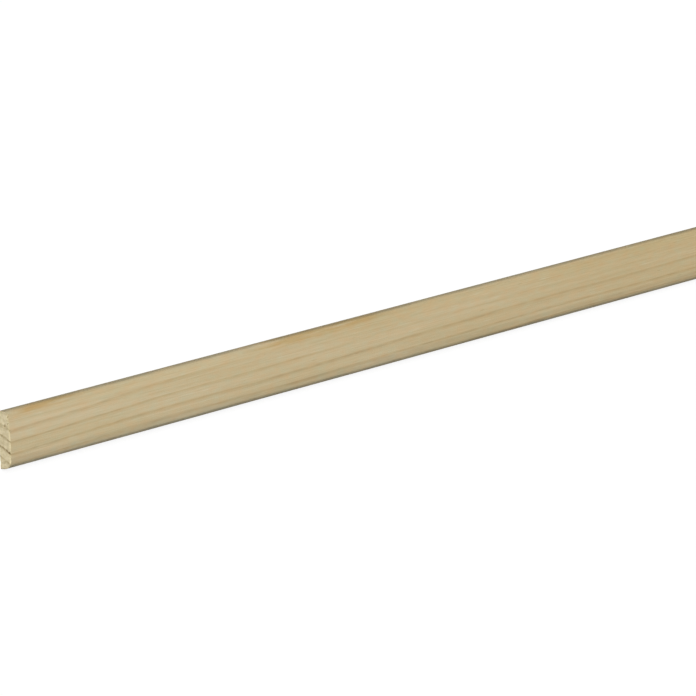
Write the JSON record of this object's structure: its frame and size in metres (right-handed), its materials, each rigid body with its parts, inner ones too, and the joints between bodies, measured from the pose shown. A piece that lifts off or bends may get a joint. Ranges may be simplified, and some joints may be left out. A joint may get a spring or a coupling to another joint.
{
  "type": "wallpaper trim moulding",
  "caption": "Slim planed softwood strip with a flat back, a gently crowned face and rounded face edges, for covering the raw edge of wallpaper.",
  "frame": {"origin": "middle of the flat back, halfway along the strip", "axes": "+X along the strip's length, +Y across its face, +Z from the back out through the crowned face"},
  "size_m": [2.4, 0.02, 0.005],
  "materials": {
    "pine": "planed, bare"
  },
  "bodies": {
    "root": {"trim_strip": "pine"}
  },
  "joints": []
}
